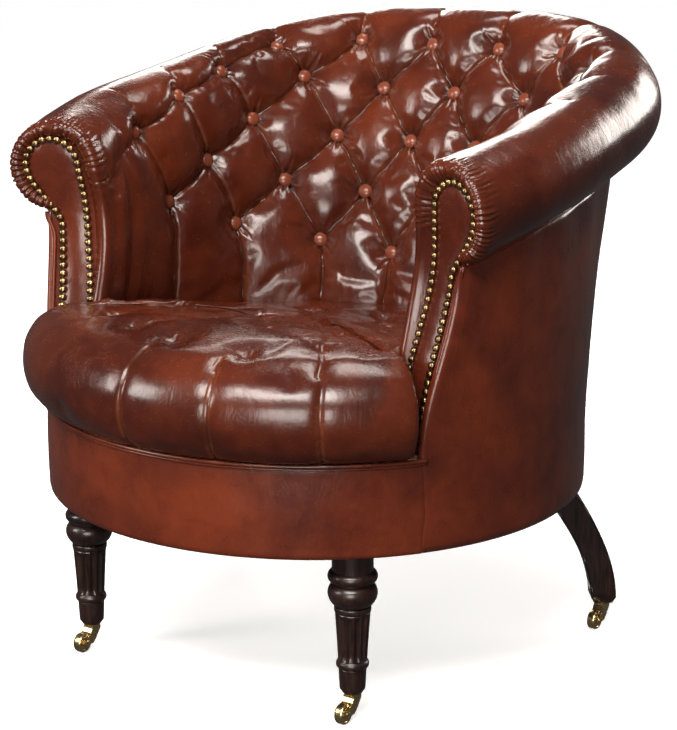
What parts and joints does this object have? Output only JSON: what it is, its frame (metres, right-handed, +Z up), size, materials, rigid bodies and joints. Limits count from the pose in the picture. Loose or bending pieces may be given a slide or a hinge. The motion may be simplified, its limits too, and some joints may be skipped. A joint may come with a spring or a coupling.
{
  "type": "armchair",
  "caption": "Deep-buttoned leather tub armchair with a round sprung seat, rolled arms and back, nailed scroll facings, turned front legs, sabre rear legs and brass castors.",
  "frame": {"origin": "on the floor under the middle of the chair's overall plan box", "axes": "+Z up; the chair faces -Y; +X is on the right of someone who looks at its front"},
  "size_m": [0.7622, 0.85, 0.791],
  "materials": {
    "tufted_leather": "glossy hand-antiqued aniline leather, deep buttoned",
    "cover_leather": "smooth antiqued leather with a soft gloss",
    "seat_leather": "glossy antiqued leather, creased and crackled with wear",
    "piping_leather": "leather piping",
    "nail_brass": "antique brass domes, darkened in the hollows",
    "castor_brass": "polished brass",
    "show_wood": "dark espresso stain, satin varnish",
    "frame_wood": "plain planed hardwood",
    "jute_webbing": "woven jute",
    "lining_cloth": "plain black lining cloth",
    "spring_steel": "coppered coil springs"
  },
  "bodies": {
    "chair": {"left_arm_pad": "tufted_leather", "right_arm_pad": "tufted_leather", "inner_back_pad": "tufted_leather", "left_arm_roll": "tufted_leather", "right_arm_roll": "tufted_leather", "back_roll": "tufted_leather", "left_outer_panel": "cover_leather", "right_outer_panel": "cover_leather", "outer_back_panel": "cover_leather", "front_apron": "cover_leather", "left_arm_facing": "cover_leather", "right_arm_facing": "cover_leather", "seat_cushion": "seat_leather", "seat_welt": "piping_leather", "left_nail_row": "nail_brass", "right_nail_row": "nail_brass", "left_front_leg": "show_wood", "right_front_leg": "show_wood", "left_rear_leg": "show_wood", "right_rear_leg": "show_wood", "front_seat_rail": "frame_wood", "back_seat_rail": "frame_wood", "left_seat_rail": "frame_wood", "right_seat_rail": "frame_wood", "left_front_corner_block": "frame_wood", "right_front_corner_block": "frame_wood", "left_rear_corner_block": "frame_wood", "right_rear_corner_block": "frame_wood", "left_arm_post": "frame_wood", "right_arm_post": "frame_wood", "left_side_post": "frame_wood", "right_side_post": "frame_wood", "left_back_post": "frame_wood", "right_back_post": "frame_wood", "left_arm_rail": "frame_wood", "right_arm_rail": "frame_wood", "back_top_rail": "frame_wood", "seat_webbing": "jute_webbing", "spring_cover": "lining_cloth", "dust_cover": "lining_cloth", "left_front_spring": "spring_steel", "right_front_spring": "spring_steel", "left_rear_spring": "spring_steel", "right_rear_spring": "spring_steel", "left_front_castor_plate": "castor_brass", "left_rear_castor_plate": "castor_brass", "right_front_castor_plate": "castor_brass", "right_rear_castor_plate": "castor_brass"},
    "left_front_castor": {"left_front_castor_horn": "castor_brass", "left_front_axle_pin": "castor_brass"},
    "left_front_wheel": {"left_front_castor_wheel": "castor_brass"},
    "left_rear_castor": {"left_rear_castor_horn": "castor_brass", "left_rear_axle_pin": "castor_brass"},
    "left_rear_wheel": {"left_rear_castor_wheel": "castor_brass"},
    "right_front_castor": {"right_front_castor_horn": "castor_brass", "right_front_axle_pin": "castor_brass"},
    "right_front_wheel": {"right_front_castor_wheel": "castor_brass"},
    "right_rear_castor": {"right_rear_castor_horn": "castor_brass", "right_rear_axle_pin": "castor_brass"},
    "right_rear_wheel": {"right_rear_castor_wheel": "castor_brass"}
  },
  "joints": [
    {"name": "left_front_swivel", "type": "hinge", "parent": "chair", "child": "left_front_castor", "pos_m": [-0.205, -0.269, 0.029], "axis": [0, 0, 1], "continuous": true},
    {"name": "left_front_wheel_spin", "type": "hinge", "parent": "left_front_castor", "child": "left_front_wheel", "pos_m": [-0.205, -0.289, 0.0127], "axis": [1, 0, 0], "continuous": true},
    {"name": "left_rear_swivel", "type": "hinge", "parent": "chair", "child": "left_rear_castor", "pos_m": [-0.30867, 0.17974, 0.029], "axis": [0, 0, 1], "continuous": true},
    {"name": "left_rear_wheel_spin", "type": "hinge", "parent": "left_rear_castor", "child": "left_rear_wheel", "pos_m": [-0.30867, 0.15974, 0.0127], "axis": [1, 0, 0], "continuous": true},
    {"name": "right_front_swivel", "type": "hinge", "parent": "chair", "child": "right_front_castor", "pos_m": [0.205, -0.269, 0.029], "axis": [0, 0, 1], "continuous": true},
    {"name": "right_front_wheel_spin", "type": "hinge", "parent": "right_front_castor", "child": "right_front_wheel", "pos_m": [0.205, -0.289, 0.0127], "axis": [1, 0, 0], "continuous": true},
    {"name": "right_rear_swivel", "type": "hinge", "parent": "chair", "child": "right_rear_castor", "pos_m": [0.30867, 0.17974, 0.029], "axis": [0, 0, 1], "continuous": true},
    {"name": "right_rear_wheel_spin", "type": "hinge", "parent": "right_rear_castor", "child": "right_rear_wheel", "pos_m": [0.30867, 0.15974, 0.0127], "axis": [1, 0, 0], "continuous": true}
  ]
}
